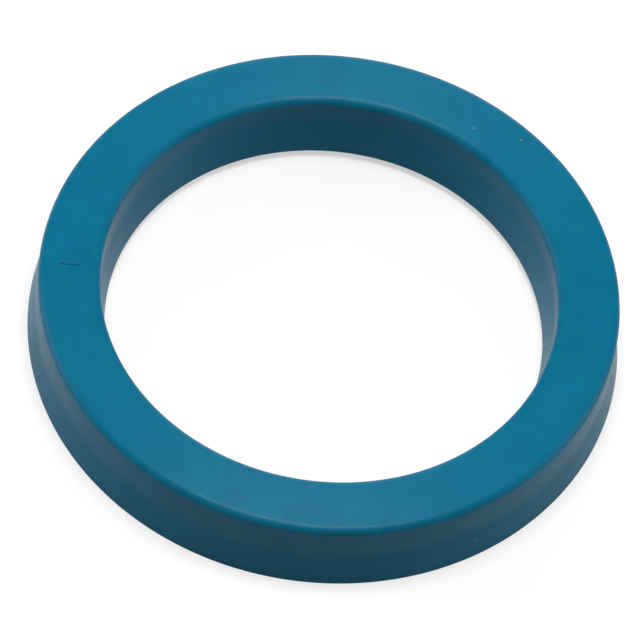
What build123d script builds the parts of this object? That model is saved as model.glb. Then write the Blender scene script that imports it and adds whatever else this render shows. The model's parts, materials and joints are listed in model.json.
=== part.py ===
from build123d import *
import os

# U-cup rod seal, moulded in one piece from polyurethane.
# Millimetres. The axis is Z. The outer lip stands on Z = 0 and the heel faces up.

# Ring: the bore goes over the rod, and the rim fills the housing groove.
bore_diameter = 55.0
section_width = 7.5
seal_height = 10.0

# Heel: the solid end of the section, with straight walls and rounded corners.
heel_thickness = 4.8
heel_corner_radius = 1.0
rim_wall_height = 5.5
bore_wall_height = 3.65

# Outer lip: it flares out from the rim wall to its sealing edge and is cut square.
outer_lip_flare = 0.75
outer_land_width = 1.9

# Inner lip: it flares in from the bore wall to its sealing edge, and a trimmed bevel
# leads from there down to the tip, which is set back from the outer lip's.
inner_lip_flare = 1.0
inner_lip_setback = 0.2
inner_bevel_height = 0.85
inner_bevel_width = 1.95

# Pressure groove between the lips: flat at its root, with cut-off corners.
groove_root_width = 2.4
groove_root_chamfer = 0.9

# Index tick: a plain moulded stroke that stands proud of the heel face.
tick_angle = 184.0
tick_length = 2.4
tick_width = 0.42
tick_height = 0.12
tick_draft = 30.0

bore_radius = bore_diameter / 2
rim_radius = bore_radius + section_width
mid_radius = bore_radius + section_width / 2
outer_edge_radius = rim_radius + outer_lip_flare
inner_edge_radius = bore_radius - inner_lip_flare
groove_depth = seal_height - heel_thickness

# The half section as (distance from the axis, height), once round from the heel.
section = [
    (bore_radius, seal_height),
    (rim_radius, seal_height),
    (rim_radius, seal_height - rim_wall_height),
    (outer_edge_radius, 0),
    (outer_edge_radius - outer_land_width, 0),
    (mid_radius + groove_root_width / 2, groove_depth),
    (mid_radius - groove_root_width / 2, groove_depth),
    (inner_edge_radius + inner_bevel_width, inner_lip_setback),
    (inner_edge_radius, inner_lip_setback + inner_bevel_height),
    (bore_radius, seal_height - bore_wall_height),
]

with BuildPart() as seal_ring:
    with BuildSketch(Plane.XZ) as half_section:
        with BuildLine():
            Polyline(section, close=True)
        make_face()
        heel_corners = half_section.vertices().group_by(Axis.Y)[-1]
        fillet(heel_corners, heel_corner_radius)
        root_corners = half_section.vertices().filter_by_position(Axis.Y, groove_depth, groove_depth)
        chamfer(root_corners, groove_root_chamfer)
    revolve(axis=Axis.Z)

    with BuildSketch(Plane.XY.offset(seal_height)):
        with PolarLocations(mid_radius, 1, start_angle=tick_angle):
            Rectangle(tick_length, tick_width)
    extrude(amount=tick_height, taper=tick_draft)

seal_ring.part.label = "seal_ring"

os.makedirs("parts", exist_ok=True)
export_step(seal_ring.part, "parts/seal_ring.step")
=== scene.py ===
import json
import math

import bmesh
import bpy
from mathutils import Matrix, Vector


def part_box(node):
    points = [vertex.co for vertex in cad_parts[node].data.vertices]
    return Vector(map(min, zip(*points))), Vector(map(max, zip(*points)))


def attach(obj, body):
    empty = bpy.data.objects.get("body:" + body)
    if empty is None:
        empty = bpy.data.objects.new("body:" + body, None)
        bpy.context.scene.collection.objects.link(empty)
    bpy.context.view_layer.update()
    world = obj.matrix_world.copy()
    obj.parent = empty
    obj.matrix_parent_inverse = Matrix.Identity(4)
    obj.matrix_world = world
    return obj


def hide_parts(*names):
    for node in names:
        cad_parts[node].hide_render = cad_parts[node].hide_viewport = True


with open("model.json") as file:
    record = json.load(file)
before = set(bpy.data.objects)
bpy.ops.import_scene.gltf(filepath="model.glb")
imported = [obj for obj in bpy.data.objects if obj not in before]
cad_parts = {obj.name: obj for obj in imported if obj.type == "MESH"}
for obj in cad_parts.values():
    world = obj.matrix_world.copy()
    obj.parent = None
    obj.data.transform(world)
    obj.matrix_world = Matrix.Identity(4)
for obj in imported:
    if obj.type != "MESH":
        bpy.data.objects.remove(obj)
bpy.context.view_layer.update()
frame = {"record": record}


# ---------------------------------------------------------------- seal ring
# One ring of blue polyurethane, injection moulded heel up in a turned steel mould.
# Its section is walked round corner by corner and rounded where the mould is rounded,
# stays crisp where the lips are trimmed, and is then spun about the axis.

MM = 0.001
mounts = {mount["name"]: mount for mount in frame["record"]["mounts"]}
bore_radius = mounts["rod_bore"]["dims"]["r_mm"] * MM
rim_radius = mounts["housing_rim"]["dims"]["r_mm"] * MM
heel_height = mounts["heel_face"]["pos_m"][2]
sealing_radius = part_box("seal_ring")[1][0]
mid_radius = (bore_radius + rim_radius) / 2

rim_break_height = heel_height - 5.5 * MM
bore_break_height = heel_height - 3.65 * MM
groove_depth = heel_height - 4.8 * MM
groove_root_width = 2.4 * MM
outer_land_width = 1.9 * MM
inner_edge_radius = bore_radius - 1.0 * MM
inner_edge_height = 1.05 * MM
inner_tip_height = 0.2 * MM
inner_bevel_width = 1.95 * MM
heel_corner_reach = 1.0
wall_break_reach = 0.95
root_reach = 0.95
mouth_reach = 0.2
tip_reach = 0.1
trimmed_edge_reach = 0.06
steps_round = 512


def only(test, kind="verts"):
    """In edit mode, selects only the elements whose centre passes the test."""
    edited = bmesh.from_edit_mesh(bpy.context.object.data)
    for part in (edited.faces, edited.edges, edited.verts):
        for element in part:
            element.select_set(False)
    for element in getattr(edited, kind):
        if kind == "verts":
            centre = element.co
        else:
            centre = sum((vert.co for vert in element.verts), element.verts[0].co * 0) / len(element.verts)
        if test(centre):
            element.select_set(True)
    edited.select_flush_mode()
    bmesh.update_edit_mesh(bpy.context.object.data)


def at(radius, height, reach=0.02 * MM):
    """A test for the section's corner at this radius and height."""
    return lambda centre: abs(centre.x - radius) < reach and abs(centre.z - height) < reach


bpy.ops.object.select_all(action="DESELECT")
bpy.ops.mesh.primitive_plane_add(
    size=1,
    location=(mid_radius, 0, (heel_height + rim_break_height) / 2),
    rotation=(math.radians(90), 0, 0),
)
seal_ring = bpy.context.object
seal_ring.name = "seal_ring_moulding"
seal_ring.scale = (rim_radius - bore_radius, heel_height - rim_break_height, 1)
bpy.ops.object.transform_apply(location=True, rotation=True, scale=True)

bpy.ops.object.mode_set(mode="EDIT")
bpy.ops.mesh.select_mode(type="VERT")
bpy.ops.mesh.delete(type="ONLY_FACE")
only(at(bore_radius, rim_break_height))
bpy.ops.mesh.delete(type="VERT")
corners = [
    (sealing_radius, 0),
    (sealing_radius - outer_land_width, 0),
    (mid_radius + groove_root_width / 2, groove_depth),
    (mid_radius - groove_root_width / 2, groove_depth),
    (inner_edge_radius + inner_bevel_width, inner_tip_height),
    (inner_edge_radius, inner_edge_height),
    (bore_radius, bore_break_height),
]
only(at(rim_radius, rim_break_height))
last = (rim_radius, rim_break_height)
for radius, height in corners:
    step = (radius - last[0], 0, height - last[1])
    bpy.ops.mesh.extrude_vertices_move(TRANSFORM_OT_translate={"value": step})
    last = (radius, height)
only(lambda centre: at(bore_radius, bore_break_height)(centre) or at(bore_radius, heel_height)(centre))
bpy.ops.mesh.edge_face_add()

# (radius, height, reach of the rounding in mm, segments)
roundings = [
    (bore_radius, heel_height, heel_corner_reach, 12),
    (rim_radius, heel_height, heel_corner_reach, 12),
    (rim_radius, rim_break_height, wall_break_reach, 8),
    (bore_radius, bore_break_height, wall_break_reach, 8),
    (mid_radius + groove_root_width / 2, groove_depth, root_reach, 10),
    (mid_radius - groove_root_width / 2, groove_depth, root_reach, 10),
    (sealing_radius, 0, trimmed_edge_reach, 4),
    (sealing_radius - outer_land_width, 0, mouth_reach, 5),
    (inner_edge_radius + inner_bevel_width, inner_tip_height, tip_reach, 5),
    (inner_edge_radius, inner_edge_height, trimmed_edge_reach, 4),
]
for radius, height, reach, segments in roundings:
    only(at(radius, height))
    bpy.ops.mesh.bevel(affect="VERTICES", offset=reach * MM, segments=segments, profile=0.5)
bpy.ops.mesh.select_all(action="SELECT")
bpy.ops.mesh.spin(steps=steps_round, angle=math.tau, center=(0, 0, 0), axis=(0, 0, 1))
bpy.ops.mesh.select_all(action="SELECT")
bpy.ops.mesh.remove_doubles(threshold=0.001 * MM)
bpy.ops.mesh.normals_make_consistent(inside=False)
bpy.ops.object.mode_set(mode="OBJECT")


# ---------------------------------------------------------------- index tick
# A short raised tick across the heel face, of the same polyurethane and moulded in one with
# the ring: it is engraved into the mould, so its edges and ends are softly rounded.

tick_angle = math.radians(184)
tick_length = 2.4 * MM
tick_width = 0.42 * MM
tick_height = 0.12 * MM
tick_root = 0.3 * MM
tick_end_rounding = 0.12 * MM
tick_edge_rounding = 0.11 * MM
tick_place = (
    mid_radius * math.cos(tick_angle),
    mid_radius * math.sin(tick_angle),
    heel_height + (tick_height - tick_root) / 2,
)
bpy.ops.object.select_all(action="DESELECT")
bpy.ops.mesh.primitive_cube_add(size=1, location=tick_place, rotation=(0, 0, tick_angle))
tick = bpy.context.object
tick.name = "index_tick"
tick.scale = (tick_length, tick_width, tick_height + tick_root)
bpy.ops.object.transform_apply(location=False, rotation=False, scale=True)
bpy.ops.object.mode_set(mode="EDIT")
bpy.ops.mesh.select_mode(type="EDGE")
only(lambda centre: abs(centre.z) < 0.1 * MM, "edges")
bpy.ops.mesh.bevel(offset=tick_end_rounding, segments=4, profile=0.5)
only(lambda centre: centre.z > (tick_height + tick_root) * 0.49, "edges")
bpy.ops.mesh.bevel(offset=tick_edge_rounding, segments=3, profile=0.5)
bpy.ops.mesh.select_all(action="SELECT")
bpy.ops.mesh.normals_make_consistent(inside=False)
bpy.ops.object.mode_set(mode="OBJECT")

bpy.ops.object.select_all(action="DESELECT")
seal_ring.select_set(True)
bpy.context.view_layer.objects.active = seal_ring
union = seal_ring.modifiers.new("tick", "BOOLEAN")
union.operation = "UNION"
union.solver = "EXACT"
union.object = tick
bpy.ops.object.modifier_apply(modifier="tick")
bpy.data.objects.remove(tick)
bpy.ops.object.shade_smooth_by_angle(angle=math.radians(35))


# ---------------------------------------------------------------- polyurethane
# Satin blue polyurethane, coloured right through. The turned mould leaves faint rings that
# stretch the gloss across them, and the skin is slightly clouded, with a few specks of dust.

polyurethane = bpy.data.materials.new("blue_polyurethane")
polyurethane.use_nodes = True
nodes = polyurethane.node_tree.nodes
links = polyurethane.node_tree.links
shader = nodes["Principled BSDF"]
shader.inputs["Specular IOR Level"].default_value = 0.12
shader.inputs["Sheen Weight"].default_value = 0.12
shader.inputs["Sheen Roughness"].default_value = 0.25
shader.inputs["Anisotropic"].default_value = 0.65
shader.inputs["Anisotropic Rotation"].default_value = 0.25
tangent = nodes.new("ShaderNodeTangent")
tangent.direction_type = "RADIAL"
tangent.axis = "Z"
links.new(tangent.outputs[0], shader.inputs["Tangent"])
place = nodes.new("ShaderNodeTexCoord").outputs["Object"]

cloud = nodes.new("ShaderNodeTexNoise")
cloud.inputs["Scale"].default_value = 260
cloud.inputs["Detail"].default_value = 5
cloud.inputs["Roughness"].default_value = 0.6
links.new(place, cloud.inputs["Vector"])
body = nodes.new("ShaderNodeValToRGB")
body.color_ramp.elements[0].position = 0.3
body.color_ramp.elements[0].color = (0.001, 0.142, 0.252, 1)
body.color_ramp.elements[1].position = 0.7
body.color_ramp.elements[1].color = (0.002, 0.166, 0.286, 1)
links.new(cloud.outputs[0], body.inputs[0])

speck = nodes.new("ShaderNodeTexVoronoi")
speck.inputs["Scale"].default_value = 160
links.new(place, speck.inputs["Vector"])
speck_size = nodes.new("ShaderNodeMapRange")
speck_size.inputs["From Min"].default_value = 0.02
speck_size.inputs["From Max"].default_value = 0.035
speck_size.inputs["To Min"].default_value = 0.35
speck_size.inputs["To Max"].default_value = 0
links.new(speck.outputs["Distance"], speck_size.inputs["Value"])
dusted = nodes.new("ShaderNodeMix")
dusted.data_type = "RGBA"
dusted.inputs[7].default_value = (0.30, 0.36, 0.36, 1)
links.new(speck_size.outputs[0], dusted.inputs[0])
links.new(body.outputs[0], dusted.inputs[6])
links.new(dusted.outputs[2], shader.inputs["Base Color"])

scuffs = nodes.new("ShaderNodeTexNoise")
scuffs.inputs["Scale"].default_value = 900
scuffs.inputs["Detail"].default_value = 4
links.new(place, scuffs.inputs["Vector"])
gloss = nodes.new("ShaderNodeMapRange")
gloss.inputs["From Min"].default_value = 0.3
gloss.inputs["From Max"].default_value = 0.7
gloss.inputs["To Min"].default_value = 0.31
gloss.inputs["To Max"].default_value = 0.39
links.new(scuffs.outputs[0], gloss.inputs["Value"])
links.new(gloss.outputs[0], shader.inputs["Roughness"])

from_axis = nodes.new("ShaderNodeVectorMath")
from_axis.operation = "MULTIPLY"
from_axis.inputs[1].default_value = (1, 1, 0)
links.new(place, from_axis.inputs[0])
distance_out = nodes.new("ShaderNodeVectorMath")
distance_out.operation = "LENGTH"
links.new(from_axis.outputs[0], distance_out.inputs[0])
turning = nodes.new("ShaderNodeTexNoise")
turning.noise_dimensions = "1D"
turning.inputs["Scale"].default_value = 5000
turning.inputs["Detail"].default_value = 2
links.new(distance_out.outputs["Value"], turning.inputs["W"])
skin = nodes.new("ShaderNodeMath")
skin.operation = "ADD"
links.new(turning.outputs[0], skin.inputs[0])
links.new(scuffs.outputs[0], skin.inputs[1])
relief = nodes.new("ShaderNodeBump")
relief.inputs["Strength"].default_value = 0.12
relief.inputs["Distance"].default_value = 0.00003
links.new(skin.outputs[0], relief.inputs["Height"])
links.new(relief.outputs[0], shader.inputs["Normal"])

seal_ring.data.materials.clear()
seal_ring.data.materials.append(polyurethane)
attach(seal_ring, "root")
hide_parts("seal_ring")


# ---------------------------------------------------------------- studio floor and backdrop
# Plain white paper laid flat, with a low wall of it far out all round. Its light on the ring
# is kept low, and it shows white to the camera, with about half of the ring's shadow on it.

floor_radius = 3.2
wall_height = 0.6

bpy.ops.object.select_all(action="DESELECT")
bpy.ops.mesh.primitive_circle_add(vertices=128, radius=floor_radius, fill_type="NGON", location=(0, 0, 0))
floor = bpy.context.object
floor.name = "studio_floor"
bpy.ops.mesh.primitive_cylinder_add(
    vertices=128,
    radius=floor_radius,
    depth=wall_height,
    end_fill_type="NOTHING",
    location=(0, 0, wall_height / 2),
)
backdrop = bpy.context.object
backdrop.name = "studio_backdrop"

paper = bpy.data.materials.new("white_paper")
paper.use_nodes = True
paper_nodes = paper.node_tree.nodes
paper_links = paper.node_tree.links
paper_nodes.remove(paper_nodes["Principled BSDF"])
ray = paper_nodes.new("ShaderNodeLightPath")
spot = paper_nodes.new("ShaderNodeTexCoord")
spread = paper_nodes.new("ShaderNodeVectorMath")
spread.operation = "LENGTH"
paper_links.new(spot.outputs["Object"], spread.inputs[0])
fade = paper_nodes.new("ShaderNodeMapRange")
fade.inputs["From Min"].default_value = 0.05
fade.inputs["From Max"].default_value = 0.6
fade.inputs["To Min"].default_value = 0.55
fade.inputs["To Max"].default_value = 1.0
paper_links.new(spread.outputs["Value"], fade.inputs["Value"])
glow = paper_nodes.new("ShaderNodeEmission")
glow.inputs["Color"].default_value = (1, 1, 1, 1)
paper_links.new(fade.outputs[0], glow.inputs["Strength"])
shaded = paper_nodes.new("ShaderNodeBsdfDiffuse")
shaded.inputs["Color"].default_value = (0.5, 0.5, 0.5, 1)
seen = paper_nodes.new("ShaderNodeAddShader")
paper_links.new(glow.outputs[0], seen.inputs[0])
paper_links.new(shaded.outputs[0], seen.inputs[1])
mirrored = paper_nodes.new("ShaderNodeBsdfDiffuse")
mirrored.inputs["Color"].default_value = (1, 1, 1, 1)
bounce = paper_nodes.new("ShaderNodeBsdfDiffuse")
bounce.inputs["Color"].default_value = (0.3, 0.3, 0.3, 1)
reflected = paper_nodes.new("ShaderNodeMath")
reflected.operation = "MAXIMUM"
paper_links.new(ray.outputs["Is Glossy Ray"], reflected.inputs[0])
paper_links.new(ray.outputs["Is Transmission Ray"], reflected.inputs[1])
by_light = paper_nodes.new("ShaderNodeMixShader")
paper_links.new(reflected.outputs[0], by_light.inputs[0])
paper_links.new(bounce.outputs[0], by_light.inputs[1])
paper_links.new(mirrored.outputs[0], by_light.inputs[2])
by_camera = paper_nodes.new("ShaderNodeMixShader")
paper_links.new(ray.outputs["Is Camera Ray"], by_camera.inputs[0])
paper_links.new(by_light.outputs[0], by_camera.inputs[1])
paper_links.new(seen.outputs[0], by_camera.inputs[2])
paper_links.new(by_camera.outputs[0], paper_nodes["Material Output"].inputs["Surface"])
floor.data.materials.append(paper)
backdrop.data.materials.append(paper)


# ---------------------------------------------------------------- studio light
# A small softbox nearly overhead runs the highlight round the heel's edges, and three
# weak ones low at the sides and back open up the walls. The room itself is dim and even.

world = bpy.context.scene.world or bpy.data.worlds.new("studio")
bpy.context.scene.world = world
world.use_nodes = True
world.node_tree.nodes["Background"].inputs["Color"].default_value = (1, 1, 1, 1)
world.node_tree.nodes["Background"].inputs["Strength"].default_value = 0.171
# (name, place, width and depth, watts)
softboxes = [
    ("overhead_softbox", (0, 0.05, 0.8), (0.33, 0.33), 4.4),
    ("left_softbox", (-0.7, 0.1, 0.25), (0.4, 0.3), 1.76),
    ("right_softbox", (0.7, 0.1, 0.25), (0.4, 0.3), 1.25),
    ("back_softbox", (0, 0.7, 0.25), (0.4, 0.3), 1.2),
]
for name, lamp_place, size, watts in softboxes:
    bpy.ops.object.light_add(type="AREA", location=lamp_place)
    softbox = bpy.context.object
    softbox.name = name
    softbox.data.shape = "RECTANGLE"
    softbox.data.size = size[0]
    softbox.data.size_y = size[1]
    softbox.data.energy = watts
    softbox.rotation_euler = (-softbox.location).to_track_quat("-Z", "Y").to_euler()


# ---------------------------------------------------------------- camera
# A long lens about a metre off in front of the ring and 55 degrees up, aimed near the
# middle of the heel face and rolled a little about its own axis.

aim = (-0.62 * MM, -4.97 * MM, heel_height)
elevation = math.radians(55.14)
roll = math.radians(8.53)
distance = 0.9594
focal_length = 452
bpy.ops.object.camera_add(
    location=(aim[0], aim[1] - distance * math.cos(elevation), aim[2] + distance * math.sin(elevation)),
    rotation=(math.radians(90) - elevation, 0, 0),
)
camera = bpy.context.object
camera.name = "camera"
camera.rotation_euler.rotate_axis("Z", roll)
camera.data.lens = focal_length
camera.data.sensor_width = 36
camera.data.clip_start = 0.01
camera.data.clip_end = 20
bpy.context.scene.camera = camera
bpy.context.scene.view_settings.view_transform = "Standard"
